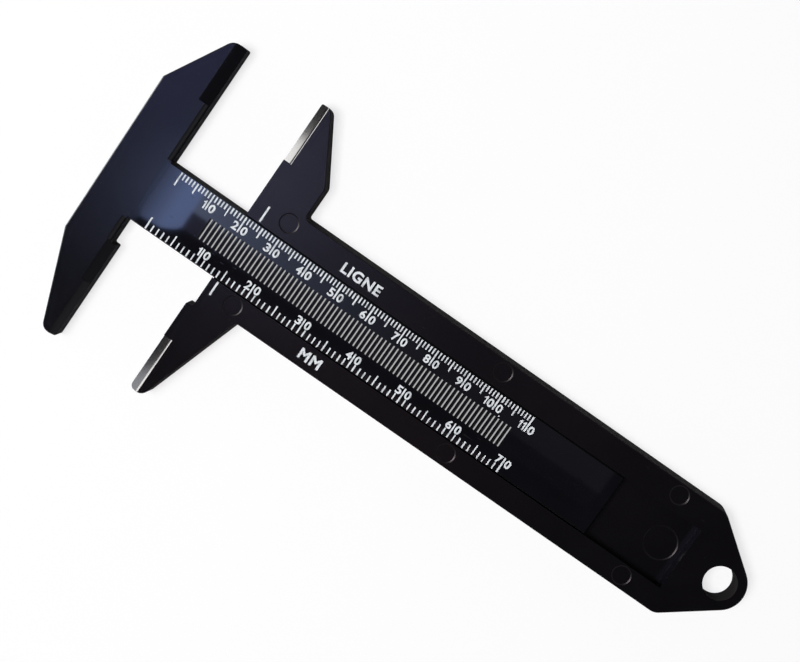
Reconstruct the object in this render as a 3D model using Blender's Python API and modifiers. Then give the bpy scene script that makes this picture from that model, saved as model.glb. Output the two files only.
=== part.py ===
"""Button gauge: a small plastic slide calliper with a pair of jaws on each side.

The gauge is two mouldings. The body is a plate with one half of each pair of jaws, a dovetail
channel and a tapered tail with a hanging hole. The rule slides in the channel, carries a ribbed
thumb grip, and has the other halves of the jaws on its head.

Units are metres. X runs along the slide towards the tail, Y runs across it and Z runs up from
the underside. X = 0 is the plane of the body's index marks. The rule is modelled from its own
zero, which stands REST_READING to the left of the index marks.
"""

import math

import bmesh
import bpy
from mathutils import Matrix, Vector

# Shared sizes
THICKNESS = 0.0050
REST_READING = 0.01478
CONTACT_OFFSET = 0.00245
EDGE_ROUNDING = 0.00015
WALL_DRAFT = 0.00035
DRAFT_RUN = 0.0025
CORNER_RADIUS = 0.0008

# Slide
CHANNEL_DEPTH = 0.0030
RULE_WIDTH = 0.0111
RULE_FLARE = 0.0005
RULE_SINK = 0.00005
SIDE_CLEARANCE = 0.0003
FLOOR_CLEARANCE = 0.0003
END_CLEARANCE = 0.0008
RULE_LENGTH = 0.0877
RULE_ROOT = 0.0035

# Thumb grip on the rule
GRIP_START = 0.00812
GRIP_END_MARGIN = 0.02016
GRIP_PITCH = 0.000803
GRIP_WIDTH = 0.00388
RIB_WIDTH = 0.00028
GROOVE_DEPTH = 0.00016
GROOVE_LEAN = 0.00012

# Body plate, from the channel outwards, and tail, from the channel's end
LEDGE_ABOVE = 0.00475
LEDGE_BELOW = 0.00405
END_WALL = 0.0017
TAIL_CORNER_RADIUS = 0.0025
HOLE_FROM_CHANNEL = 0.00765
HOLE_Y = 0.00045
HOLE_DIAMETER = 0.00585
EYE_WALL = 0.001625

# Upper jaws: the straight part, then the tapered tip
JAW_BLOCK = 0.0059
JAW_TIP = 0.0111
JAW_BACK = 0.00583
JAW_TIP_X = -0.00056
JAW_TIP_RADIUS = 0.0024
JAW_SHOULDER_RADIUS = 0.0012
HEAD_TIP_X = 0.00497
HEAD_TIP_RADIUS = 0.0022

# Lower jaws
LOWER_JAW_REACH = 0.01884
LOWER_JAW_ROOT = 0.00613
LOWER_JAW_TIP_X = 0.00014
LOWER_JAW_TIP_RADIUS = 0.0016
HEAD_LOWER_SLOPE = 0.01619
HEAD_LOWER_TIP_X = 0.00491
HEAD_LOWER_TIP_RADIUS = 0.0024

# Head: its back edge, and how far its jaws reach past the body's
HEAD_BACK = 0.0110
HEAD_BACK_LEAN = 0.0003
HEAD_BACK_RADIUS = 0.0008
HEAD_OVERHANG = 0.00015

# Notches beside the channel, below the rule
BODY_NOTCH_BACK = 0.0012
BODY_NOTCH_DROP = 0.0017
HEAD_NOTCH_BACK = 0.00105
HEAD_NOTCH_DROP = 0.00085

# Bevels of the measuring edges: how far each cuts back along X, and how deep it goes
BODY_TIP_BEVEL = 0.00145
BODY_LOWER_TIP_BEVEL = 0.00162
HEAD_TIP_BEVEL = 0.00205
HEAD_EDGE_BEVEL = 0.00085
HEAD_NOTCH_BEVEL = 0.00080
HEAD_STEP_BEVEL = 0.00167
HEAD_LOWER_TIP_BEVEL = 0.00132
TIP_BEVEL_DEPTH = 0.0010
EDGE_BEVEL_DEPTH = 0.00085
BEVEL_LIP = 0.00035
BEVEL_LIP_DEPTH = 0.00020
EDGE_BEVEL_GAP = 0.00005
UPPER_BEVEL_INSET = 0.0001
LOWER_BEVEL_LENGTH = 0.01049

# Shallow round marks that the ejector pins leave
PIN_MARK_DEPTH = 0.00014
PIN_MARK_FLARE = 1.5
PIN_MARK_START = 0.0041
PIN_MARK_END_MARGIN = 0.0064
PIN_MARK_MIDDLE_SHARE = 0.504
PIN_MARK_ABOVE_SHARE = 0.58
PIN_MARK_BELOW_SHARE = 0.48
PIN_MARK_RADIUS_SHARE = 0.42
FLOOR_MARK_MARGIN = 0.0036
FLOOR_MARK_RADIUS = 0.0030

# Drawing and cutting
ARC_STEP = math.radians(7.5)
HOLE_SIDES = 48
MARK_SIDES = 32
RIM_SEGMENTS = 2
SMALL_FILLET = EDGE_ROUNDING * 2
OVERCUT = 0.001
MARK_OVERCUT = 0.0001
FILLET_SHARE = 0.45
WELD_DISTANCE = 0.000001

# Heights that follow from the sizes above
FLOOR_TOP = THICKNESS - CHANNEL_DEPTH
BAR_BOTTOM = FLOOR_TOP + FLOOR_CLEARANCE
BAR_TOP = THICKNESS - RULE_SINK

# Places along X that follow
CHANNEL_END = RULE_LENGTH + END_CLEARANCE
TAPER_START = CHANNEL_END + END_WALL
HOLE_X = CHANNEL_END + HOLE_FROM_CHANNEL
GROOVE_COUNT = round((RULE_LENGTH - GRIP_START - GRIP_END_MARGIN) / GRIP_PITCH) + 1
GROOVE_WIDTH = GRIP_PITCH - RIB_WIDTH
BODY_NOTCH_X = -CONTACT_OFFSET + BODY_NOTCH_BACK
HEAD_NOTCH_X = CONTACT_OFFSET + HEAD_NOTCH_BACK

# Places along Y that follow
CHANNEL_EDGE = RULE_WIDTH / 2 + SIDE_CLEARANCE
BODY_ABOVE = CHANNEL_EDGE + LEDGE_ABOVE
BODY_BELOW = CHANNEL_EDGE + LEDGE_BELOW
JAW_SHOULDER = BODY_ABOVE + JAW_BLOCK
JAW_HEIGHT = JAW_SHOULDER + JAW_TIP
HEAD_HEIGHT = JAW_HEIGHT + HEAD_OVERHANG
LOWER_JAW_DEPTH = BODY_BELOW + LOWER_JAW_REACH
HEAD_DEPTH = LOWER_JAW_DEPTH + HEAD_OVERHANG
HEAD_LOWER_SHOULDER = HEAD_DEPTH - HEAD_LOWER_SLOPE
BODY_NOTCH_END = BODY_BELOW + BODY_NOTCH_DROP
HEAD_NOTCH_END = BODY_BELOW + HEAD_NOTCH_DROP
UPPER_BEVEL_START = JAW_SHOULDER + UPPER_BEVEL_INSET
LOWER_BEVEL_START = LOWER_JAW_DEPTH - LOWER_BEVEL_LENGTH
INSIDE_RULE = RULE_WIDTH / 3

# Turning a flat outline: its plane stands across X, or across Y
ACROSS_X = Matrix(((0, 0, 1), (1, 0, 0), (0, 1, 0))).to_4x4()
ACROSS_Y = Matrix(((1, 0, 0), (0, 0, -1), (0, 1, 0))).to_4x4()


def clear_scene():
    """Removes every object and collection that the file starts with."""
    for obj in list(bpy.data.objects):
        bpy.data.objects.remove(obj, do_unlink=True)
    for collection in list(bpy.data.collections):
        bpy.data.collections.remove(collection)


def new_collection(name):
    """Makes a collection in the scene."""
    collection = bpy.data.collections.new(name)
    bpy.context.scene.collection.children.link(collection)
    return collection


def plastic(name, colour, roughness):
    """Makes a moulded plastic's material."""
    material = bpy.data.materials.new(name)
    material.use_nodes = True
    shader = material.node_tree.nodes["Principled BSDF"]
    shader.inputs["Base Color"].default_value = (*colour, 1.0)
    shader.inputs["Roughness"].default_value = roughness
    shader.inputs["Metallic"].default_value = 0.0
    return material


def arc(centre, radius, start, turn):
    """Lists the points of an arc about a centre, from an angle through a signed turn."""
    steps = max(2, math.ceil(abs(turn) / ARC_STEP))
    angles = [start + turn * step / steps for step in range(steps + 1)]
    return [centre + radius * Vector((math.cos(a), math.sin(a))) for a in angles]


def rounded(corners):
    """Turns corners (x, y, radius) into the points of a closed outline with filleted corners."""
    points = []
    for index, (x, y, radius) in enumerate(corners):
        here = Vector((x, y))
        if radius == 0:
            points.append(here)
            continue
        before = Vector(corners[index - 1][:2]) - here
        after = Vector(corners[(index + 1) % len(corners)][:2]) - here
        half = before.angle(after) / 2
        longest = FILLET_SHARE * min(before.length, after.length)
        reach = min(radius / math.tan(half), longest)
        radius = reach * math.tan(half)
        inward = (before.normalized() + after.normalized()).normalized()
        centre = here + inward * radius / math.sin(half)
        first = here + before.normalized() * reach - centre
        last = here + after.normalized() * reach - centre
        start = math.atan2(first.y, first.x)
        turn = math.atan2(first.cross(last), first.dot(last))
        points += arc(centre, radius, start, turn)
    return points


def flat_mesh(name, outline, bottom, top):
    """Makes a plate's mesh from an outline and the heights of its two faces."""
    curve = bpy.data.curves.new(name, "CURVE")
    curve.dimensions = "2D"
    curve.fill_mode = "BOTH"
    curve.extrude = (top - bottom) / 2
    spline = curve.splines.new("POLY")
    spline.points.add(len(outline) - 1)
    for point, place in zip(spline.points, outline):
        point.co = (place.x, place.y, 0, 1)
    spline.use_cyclic_u = True
    drawn = bpy.data.objects.new(name, curve)
    drawn.location.z = (top + bottom) / 2
    bpy.context.scene.collection.objects.link(drawn)
    bpy.context.view_layer.update()
    graph = bpy.context.evaluated_depsgraph_get()
    mesh = bpy.data.meshes.new_from_object(drawn.evaluated_get(graph))
    mesh.transform(drawn.matrix_world)
    mesh.name = name
    bpy.data.objects.remove(drawn, do_unlink=True)
    bpy.data.curves.remove(curve)
    tidy_mesh(mesh)
    return mesh


def tidy_mesh(mesh):
    """Welds a mesh's caps to its walls and turns every face outwards."""
    shape = bmesh.new()
    shape.from_mesh(mesh)
    bmesh.ops.remove_doubles(shape, verts=shape.verts, dist=WELD_DISTANCE)
    bmesh.ops.dissolve_limit(
        shape, angle_limit=math.radians(0.1), verts=shape.verts, edges=shape.edges
    )
    bmesh.ops.recalc_face_normals(shape, faces=shape.faces)
    shape.to_mesh(mesh)
    shape.free()


def add_draft(mesh, away, square_reach):
    """Leans the outer walls out towards the underside, as a mould needs.

    The plastic lies towards away (-1 or 1) from the contact plane. The walls within square_reach
    of that plane stay square, and the lean grows to its full amount over DRAFT_RUN behind them.
    """
    shape = bmesh.new()
    shape.from_mesh(mesh)
    shape.normal_update()
    for vert in shape.verts:
        behind = behind_contact(vert.co, away) - square_reach
        if vert.co.z > THICKNESS / 2 or behind <= 0:
            continue
        outward = vert.normal.to_2d().normalized()
        vert.co.xy += outward * WALL_DRAFT * min(behind / DRAFT_RUN, 1)
    shape.to_mesh(mesh)
    shape.free()


def behind_contact(place, away):
    """Measures how far a place lies behind the contact plane, on the side of the plastic."""
    return (place.x + CONTACT_OFFSET) * away


def round_rims(mesh, away, square_reach):
    """Rounds a plate's upper and lower rim, apart from the rims near the contact plane."""
    shape = bmesh.new()
    shape.from_mesh(mesh)
    rims = [
        edge
        for edge in shape.edges
        if (edge.verts[0].co.z > THICKNESS / 2) == (edge.verts[1].co.z > THICKNESS / 2)
        and max(behind_contact(vert.co, away) for vert in edge.verts) > square_reach
    ]
    bmesh.ops.bevel(
        shape,
        geom=rims,
        offset=EDGE_ROUNDING,
        offset_type="OFFSET",
        segments=RIM_SEGMENTS,
        profile=0.5,
        affect="EDGES",
    )
    shape.to_mesh(mesh)
    shape.free()


def place(name, mesh, collection, material=None):
    """Puts a mesh in the scene as a named object."""
    obj = bpy.data.objects.new(name, mesh)
    collection.objects.link(obj)
    if material:
        mesh.materials.append(material)
    return obj


def helper(name, mesh, collection):
    """Puts a mesh in the scene as a wire helper that is never rendered."""
    obj = place(name, mesh, collection)
    obj.display_type = "WIRE"
    obj.hide_render = True
    return obj


def round_cutter(name, collection, spot, radius, heights, flare, sides):
    """Makes a round cutter between two heights, whose radius is measured at the face that it cuts.

    The heights are the cutter's bottom, the face and the cutter's top. The radius grows by flare
    for each unit of height.
    """
    bottom, face, top = heights
    mesh = bpy.data.meshes.new(name)
    shape = bmesh.new()
    bmesh.ops.create_cone(
        shape,
        cap_ends=True,
        segments=sides,
        radius1=radius - flare * (face - bottom),
        radius2=radius + flare * (top - face),
        depth=top - bottom,
        matrix=Matrix.Translation((*spot, (top + bottom) / 2)),
    )
    shape.to_mesh(mesh)
    shape.free()
    return helper(name, mesh, collection)


def mark_cutter(name, collection, spot, radius, face):
    """Makes the cutter of a shallow pin mark with a sloping wall in a face at a height."""
    heights = (face - PIN_MARK_DEPTH, face, face + MARK_OVERCUT)
    return round_cutter(name, collection, spot, radius, heights, PIN_MARK_FLARE, MARK_SIDES)


def bevel_cutter(name, collection, edge, away, size, start, end):
    """Makes the wedge that bevels a measuring edge between two places along Y.

    The edge stands at X = edge, the plastic to keep lies towards away (-1 or 1), and size is how
    far the bevel cuts back and how deep it goes. A narrow flatter lip runs along its top.
    """
    back, depth = size
    lip = min(BEVEL_LIP, back / 2)
    lip_depth = min(BEVEL_LIP_DEPTH, depth / 2)
    slope = (depth - lip_depth) / (back - lip)
    lip_slope = lip_depth / lip
    profile = [
        (edge - away * OVERCUT, THICKNESS - depth - slope * OVERCUT),
        (edge + away * (back - lip), THICKNESS - lip_depth),
        (edge + away * (back + OVERCUT), THICKNESS + lip_slope * OVERCUT),
        (edge + away * (back + OVERCUT), THICKNESS + 2 * OVERCUT),
        (edge - away * OVERCUT, THICKNESS + 2 * OVERCUT),
    ]
    low, high = sorted((-start, -end))
    mesh = flat_mesh(name, [Vector(point) for point in profile], low, high)
    mesh.transform(ACROSS_Y)
    return helper(name, mesh, collection)


def shape_with(target, tool, operation):
    """Adds a Boolean that cuts the tool from the target, or joins it on."""
    modifier = target.modifiers.new(tool.name, "BOOLEAN")
    modifier.object = tool
    modifier.operation = operation
    modifier.solver = "EXACT"


def flank(height, clearance=0.0):
    """Gives the rule's half width at a height, or the channel's where a clearance is added."""
    lean = RULE_FLARE / (BAR_TOP - BAR_BOTTOM)
    return RULE_WIDTH / 2 + lean * (BAR_TOP - height) + clearance


def dovetail_mesh(name, bottom, top, clearance, start, end):
    """Makes a dovetail bar along X that is wider at its bottom."""
    profile = [
        Vector((-flank(bottom, clearance), bottom)),
        Vector((flank(bottom, clearance), bottom)),
        Vector((flank(top, clearance), top)),
        Vector((-flank(top, clearance), top)),
    ]
    mesh = flat_mesh(name, profile, start, end)
    mesh.transform(ACROSS_X)
    return mesh


def tangent_angle(corner, centre, radius, side):
    """Finds where the straight line from a corner touches a circle, as an angle about its centre."""
    away = corner - centre
    spread = math.acos(radius / away.length)
    return math.atan2(away.y, away.x) - side * spread


def tail_corners():
    """Lists the tail's corners: a taper from each side, tangent to the ring round the hole."""
    centre = Vector((HOLE_X, HOLE_Y))
    radius = HOLE_DIAMETER / 2 + EYE_WALL
    lower = Vector((TAPER_START, -BODY_BELOW))
    upper = Vector((TAPER_START, BODY_ABOVE))
    start = tangent_angle(lower, centre, radius, -1)
    end = tangent_angle(upper, centre, radius, 1)
    ring = arc(centre, radius, start, end - start)
    return [
        (*lower, TAIL_CORNER_RADIUS),
        *((*point, 0) for point in ring),
        (*upper, TAIL_CORNER_RADIUS),
    ]


def body_outline():
    """Draws the body's plate with its jaws, anticlockwise from the lower jaw's tip."""
    contact = -CONTACT_OFFSET
    return rounded(
        [
            (contact, -LOWER_JAW_DEPTH, CORNER_RADIUS),
            (LOWER_JAW_TIP_X, -LOWER_JAW_DEPTH, LOWER_JAW_TIP_RADIUS),
            (LOWER_JAW_ROOT, -BODY_BELOW, CORNER_RADIUS),
            *tail_corners(),
            (JAW_BACK, BODY_ABOVE, CORNER_RADIUS),
            (JAW_BACK, JAW_SHOULDER, JAW_SHOULDER_RADIUS),
            (JAW_TIP_X, JAW_HEIGHT, JAW_TIP_RADIUS),
            (contact, JAW_HEIGHT, SMALL_FILLET),
            (contact, -INSIDE_RULE, 0),
            (BODY_NOTCH_X, -INSIDE_RULE, 0),
            (BODY_NOTCH_X, -BODY_NOTCH_END, SMALL_FILLET),
            (contact, -BODY_NOTCH_END, SMALL_FILLET),
        ]
    )


def head_outline():
    """Draws the rule's head with its jaws, anticlockwise from the lower jaw's tip."""
    contact = -CONTACT_OFFSET
    return rounded(
        [
            (contact, -HEAD_DEPTH, SMALL_FILLET),
            (contact, -HEAD_NOTCH_END, SMALL_FILLET),
            (-HEAD_NOTCH_X, -HEAD_NOTCH_END, SMALL_FILLET),
            (-HEAD_NOTCH_X, -INSIDE_RULE, 0),
            (contact, -INSIDE_RULE, 0),
            (contact, HEAD_HEIGHT, SMALL_FILLET),
            (-HEAD_TIP_X, HEAD_HEIGHT, HEAD_TIP_RADIUS),
            (-HEAD_BACK - HEAD_BACK_LEAN, JAW_SHOULDER, HEAD_BACK_RADIUS),
            (-HEAD_BACK, -HEAD_LOWER_SHOULDER, HEAD_BACK_RADIUS),
            (-HEAD_LOWER_TIP_X, -HEAD_DEPTH, HEAD_LOWER_TIP_RADIUS),
        ]
    )


def pin_marks():
    """Lists the marks on the two ledges beside the channel: each one's name and spot."""
    middle = PIN_MARK_START + PIN_MARK_MIDDLE_SHARE * (CHANNEL_END - PIN_MARK_START)
    columns = (PIN_MARK_START, middle, CHANNEL_END - PIN_MARK_END_MARGIN)
    rows = {
        "upper": CHANNEL_EDGE + PIN_MARK_ABOVE_SHARE * LEDGE_ABOVE,
        "lower": -CHANNEL_EDGE - PIN_MARK_BELOW_SHARE * LEDGE_BELOW,
    }
    return {
        f"pin_mark_{side}_{column}": (x, y)
        for side, y in rows.items()
        for column, x in enumerate(columns)
    }


def build_body(parts, cutters):
    """Builds the body: plate, jaws, channel, hanging hole and pin marks."""
    mesh = flat_mesh("gauge_body", body_outline(), 0, THICKNESS)
    square_reach = CONTACT_OFFSET + BODY_NOTCH_X + EDGE_ROUNDING
    add_draft(mesh, 1, square_reach)
    round_rims(mesh, 1, square_reach)
    black = plastic("black_plastic", (0.006, 0.006, 0.008), 0.38)
    body = place("gauge_body", mesh, parts, black)
    channel = dovetail_mesh(
        "channel_cutter",
        FLOOR_TOP,
        THICKNESS + OVERCUT,
        SIDE_CLEARANCE,
        -CONTACT_OFFSET - OVERCUT,
        CHANNEL_END,
    )
    tools = [helper("channel_cutter", channel, cutters)]
    radius = PIN_MARK_RADIUS_SHARE * min(LEDGE_ABOVE, LEDGE_BELOW)
    for name, spot in pin_marks().items():
        tools.append(mark_cutter(name, cutters, spot, radius, THICKNESS))
    floor_spot = (CHANNEL_END - FLOOR_MARK_MARGIN, 0)
    floor_mark = mark_cutter("floor_mark", cutters, floor_spot, FLOOR_MARK_RADIUS, FLOOR_TOP)
    hole = round_cutter(
        "hanging_hole",
        cutters,
        (HOLE_X, HOLE_Y),
        HOLE_DIAMETER / 2,
        (-OVERCUT, THICKNESS, THICKNESS + OVERCUT),
        0,
        HOLE_SIDES,
    )
    upper_bevel = bevel_cutter(
        "body_tip_bevel",
        cutters,
        -CONTACT_OFFSET,
        1,
        (BODY_TIP_BEVEL, TIP_BEVEL_DEPTH),
        UPPER_BEVEL_START,
        JAW_HEIGHT + OVERCUT,
    )
    lower_bevel = bevel_cutter(
        "body_lower_tip_bevel",
        cutters,
        -CONTACT_OFFSET,
        1,
        (BODY_LOWER_TIP_BEVEL, TIP_BEVEL_DEPTH),
        -LOWER_BEVEL_START,
        -LOWER_JAW_DEPTH - OVERCUT,
    )
    for tool in (*tools, floor_mark, hole, upper_bevel, lower_bevel):
        shape_with(body, tool, "DIFFERENCE")
    return body


def grip_cutter(collection):
    """Makes the comb of leaning V grooves that leaves the thumb grip's ribs between them."""
    rise = OVERCUT
    spread = rise * (GROOVE_WIDTH / GROOVE_DEPTH) / 2
    apex = Vector((-GROOVE_LEAN, BAR_TOP - GROOVE_DEPTH))
    left = Vector((-GROOVE_WIDTH / 2, BAR_TOP))
    right = Vector((GROOVE_WIDTH / 2, BAR_TOP))
    over_left = left + (left - apex) * spread / (left - apex).length
    over_right = right + (right - apex) * spread / (right - apex).length
    mesh = flat_mesh(
        "grip_groove", [apex, over_right, over_left], -GRIP_WIDTH / 2, GRIP_WIDTH / 2
    )
    mesh.transform(ACROSS_Y)
    groove = helper("grip_grooves", mesh, collection)
    groove.location.x = GRIP_START
    comb = groove.modifiers.new("comb", "ARRAY")
    comb.use_relative_offset = False
    comb.use_constant_offset = True
    comb.constant_offset_displace = (GRIP_PITCH, 0, 0)
    comb.count = GROOVE_COUNT
    return groove


def head_bevels(collection):
    """Makes the wedges along the head's measuring edges, named by the edge that each cuts."""
    bar_side = CHANNEL_EDGE + EDGE_BEVEL_GAP
    lower_start = LOWER_BEVEL_START + HEAD_OVERHANG
    edges = {
        "head_edge_bevel": (
            CONTACT_OFFSET,
            (HEAD_EDGE_BEVEL, EDGE_BEVEL_DEPTH),
            bar_side,
            UPPER_BEVEL_START + OVERCUT,
        ),
        "head_tip_bevel": (
            CONTACT_OFFSET,
            (HEAD_TIP_BEVEL, TIP_BEVEL_DEPTH),
            UPPER_BEVEL_START + HEAD_OVERHANG,
            HEAD_HEIGHT + OVERCUT,
        ),
        "head_notch_bevel": (
            HEAD_NOTCH_X,
            (HEAD_NOTCH_BEVEL, HEAD_NOTCH_BEVEL),
            -bar_side,
            -HEAD_NOTCH_END + SMALL_FILLET,
        ),
        "head_step_bevel": (
            CONTACT_OFFSET,
            (HEAD_STEP_BEVEL, TIP_BEVEL_DEPTH),
            -HEAD_NOTCH_END + OVERCUT,
            -lower_start,
        ),
        "head_lower_tip_bevel": (
            CONTACT_OFFSET,
            (HEAD_LOWER_TIP_BEVEL, TIP_BEVEL_DEPTH),
            -lower_start + OVERCUT,
            -HEAD_DEPTH - OVERCUT,
        ),
    }
    return [
        bevel_cutter(name, collection, -edge, -1, size, start, end)
        for name, (edge, size, start, end) in edges.items()
    ]


def build_rule(parts, cutters):
    """Builds the rule: head with its jaws, dovetail bar and ribbed thumb grip."""
    zero = bpy.data.objects.new("rule_slide", None)
    zero.location.x = -REST_READING
    parts.objects.link(zero)
    mesh = flat_mesh("sliding_rule", head_outline(), 0, THICKNESS)
    square_reach = HEAD_NOTCH_X - CONTACT_OFFSET + EDGE_ROUNDING
    add_draft(mesh, -1, square_reach)
    round_rims(mesh, -1, square_reach)
    navy = plastic("dark_navy_plastic", (0.012, 0.015, 0.028), 0.30)
    rule = place("sliding_rule", mesh, parts, navy)
    bar = dovetail_mesh(
        "rule_bar", BAR_BOTTOM, BAR_TOP, 0.0, -CONTACT_OFFSET - RULE_ROOT, RULE_LENGTH
    )
    shape_with(rule, helper("rule_bar", bar, cutters), "UNION")
    tools = [grip_cutter(cutters), *head_bevels(cutters)]
    for tool in tools:
        shape_with(rule, tool, "DIFFERENCE")
    rule.parent = zero
    for tool in list(cutters.objects):
        if any(modifier.object == tool for modifier in rule.modifiers):
            tool.parent = zero
    return rule


def main():
    """Builds the gauge."""
    clear_scene()
    parts = new_collection("Button gauge")
    cutters = new_collection("Cutters")
    build_body(parts, cutters)
    build_rule(parts, cutters)
    bpy.context.view_layer.update()


main()
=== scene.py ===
"""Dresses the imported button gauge: its two plastic mouldings and everything printed on them.

Lengths are in metres, and one that is read in millimetres is written times MM. X runs along the
slide towards the tail, Y runs across it and Z runs up from the underside. X is zero at the body's
index marks, and the rule's own zero stands REST_READING to the left of them.
"""

import logging
import math
from dataclasses import dataclass, field
from enum import Enum
from typing import Iterable, Optional, Union

import bmesh
import bpy
from mathutils import Euler, Matrix, Vector


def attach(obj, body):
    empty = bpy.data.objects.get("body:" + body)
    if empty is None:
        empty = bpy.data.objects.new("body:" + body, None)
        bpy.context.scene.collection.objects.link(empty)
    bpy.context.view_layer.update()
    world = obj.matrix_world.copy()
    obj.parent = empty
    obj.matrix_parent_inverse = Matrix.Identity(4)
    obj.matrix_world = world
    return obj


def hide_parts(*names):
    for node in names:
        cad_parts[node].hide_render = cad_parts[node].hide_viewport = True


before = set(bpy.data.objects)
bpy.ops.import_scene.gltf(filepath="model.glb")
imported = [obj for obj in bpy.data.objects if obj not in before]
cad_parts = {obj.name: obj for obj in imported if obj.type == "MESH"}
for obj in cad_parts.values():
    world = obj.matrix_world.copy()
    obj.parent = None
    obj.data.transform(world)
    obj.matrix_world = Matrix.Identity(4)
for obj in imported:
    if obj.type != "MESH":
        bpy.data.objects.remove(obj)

LOG = logging.getLogger("button_gauge")
MM = 0.001
REST_READING = 14.78 * MM

Colour = tuple[float, float, float]
Point = tuple[float, float, float]
Value = Union["Signal", float]

# Each run of hair scratches: its turn about Z in degrees, and its shift in metres
SCRATCH_RUNS = ((4.0, 0.0), (-11.0, 0.031), (52.0, 0.067))

# Digit one, drawn 1 high: the corners of its stem, then those of its flag
ONE_STEM = ((0.17, 0), (0.35, 0), (0.35, 1), (0.21, 1))
ONE_FLAG = ((0.13, 0.86), (0, 0.80), (0, 0.67), (0.17, 0.71))


class Carrier(Enum):
    """The body that a piece rides on, with the record's slot of its plastic."""

    BODY = ("body", "body_plastic")
    RULE = ("rule", "rule_plastic")

    @property
    def body(self) -> str:
        """Name of the body."""
        return self.value[0]

    @property
    def slot(self) -> str:
        """Name of the record's material slot."""
        return self.value[1]


class Side(Enum):
    """The side of the slide that a scale stands on, as the sign of its Y."""

    LIGNE = 1
    MILLIMETRE = -1


# Node trees


class Tree:
    """Adds nodes to a material's or a modifier's node tree."""

    def __init__(self, tree: bpy.types.NodeTree) -> None:
        """Takes the tree that the nodes go into.

        Args:
            tree: a shader or geometry node tree.
        """
        self.tree = tree

    def node(
        self,
        kind: str,
        settings: Optional[dict] = None,
        sockets: Optional[dict] = None,
    ) -> bpy.types.Node:
        """Adds one node.

        Args:
            kind: the node's type.
            settings: its settings, set before its sockets.
            sockets: a value, a Signal or a socket for each input, by name or number.

        Returns:
            The new node.
        """
        made = self.tree.nodes.new(kind)
        for name, setting in (settings or {}).items():
            if name == "stops":
                self._set_stops(made, setting)
            else:
                setattr(made, name, setting)
        for key, given in (sockets or {}).items():
            self.feed(made.inputs[key], given)
        return made

    @staticmethod
    def _set_stops(ramp: bpy.types.Node, stops: Iterable[tuple[float, float]]) -> None:
        """Gives a colour ramp its grey stops.

        Args:
            ramp: the colour ramp.
            stops: places along it, each with its brightness.
        """
        elements = ramp.color_ramp.elements
        for index, (place, grey) in enumerate(stops):
            stop = elements[index] if index < len(elements) else elements.new(place)
            stop.position = place
            stop.color = (grey, grey, grey, 1)

    def feed(self, socket: bpy.types.NodeSocket, given: object) -> None:
        """Links a socket or sets its value.

        Args:
            socket: the input.
            given: a Signal, an output socket or a plain value.
        """
        source = given.socket if isinstance(given, Signal) else given
        if isinstance(source, bpy.types.NodeSocket):
            self.tree.links.new(source, socket)
        else:
            socket.default_value = source

    def signal(self, made: bpy.types.Node, output: Union[str, int] = 0) -> "Signal":
        """Wraps one of a node's outputs."""
        return Signal(self, made.outputs[output])


class Signal:
    """A socket that carries a value, so that expressions on it add Math nodes."""

    def __init__(self, tree: Tree, socket: bpy.types.NodeSocket) -> None:
        """Takes the tree and the output socket."""
        self.tree = tree
        self.socket = socket

    def _math(self, operation: str, *values: Value, clamp: bool = False) -> "Signal":
        """Adds a Math node.

        Args:
            operation: what the node does.
            values: its inputs in order.
            clamp: whether the result stays between 0 and 1.

        Returns:
            The node's result.
        """
        settings = {"operation": operation, "use_clamp": clamp}
        made = self.tree.node("ShaderNodeMath", settings, dict(enumerate(values)))
        return Signal(self.tree, made.outputs[0])

    def __add__(self, other: Value) -> "Signal":
        """Adds."""
        return self._math("ADD", self, other)

    def __radd__(self, other: Value) -> "Signal":
        """Adds, where the number stands first."""
        return self._math("ADD", other, self)

    def __sub__(self, other: Value) -> "Signal":
        """Subtracts."""
        return self._math("SUBTRACT", self, other)

    def __rsub__(self, other: Value) -> "Signal":
        """Subtracts from a number."""
        return self._math("SUBTRACT", other, self)

    def __mul__(self, other: Value) -> "Signal":
        """Multiplies."""
        return self._math("MULTIPLY", self, other)

    def __rmul__(self, other: Value) -> "Signal":
        """Multiplies, where the number stands first."""
        return self._math("MULTIPLY", other, self)

    def __truediv__(self, other: Value) -> "Signal":
        """Divides."""
        return self._math("DIVIDE", self, other)

    def __abs__(self) -> "Signal":
        """Drops the sign."""
        return self._math("ABSOLUTE", self)

    def __mod__(self, other: Value) -> "Signal":
        """Gives what is left after a division."""
        return self._math("MODULO", self, other)

    def above(self, limit: Value) -> "Signal":
        """Gives 1 where the value is above a limit, else 0."""
        return self._math("GREATER_THAN", self, limit)

    def below(self, limit: Value) -> "Signal":
        """Gives 1 where the value is below a limit, else 0."""
        return self._math("LESS_THAN", self, limit)

    def clamped(self) -> "Signal":
        """Keeps the value between 0 and 1."""
        return self._math("ADD", self, 0.0, clamp=True)

    def raised(self, power: Value) -> "Signal":
        """Raises the value to a power."""
        return self._math("POWER", self, power)


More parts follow.
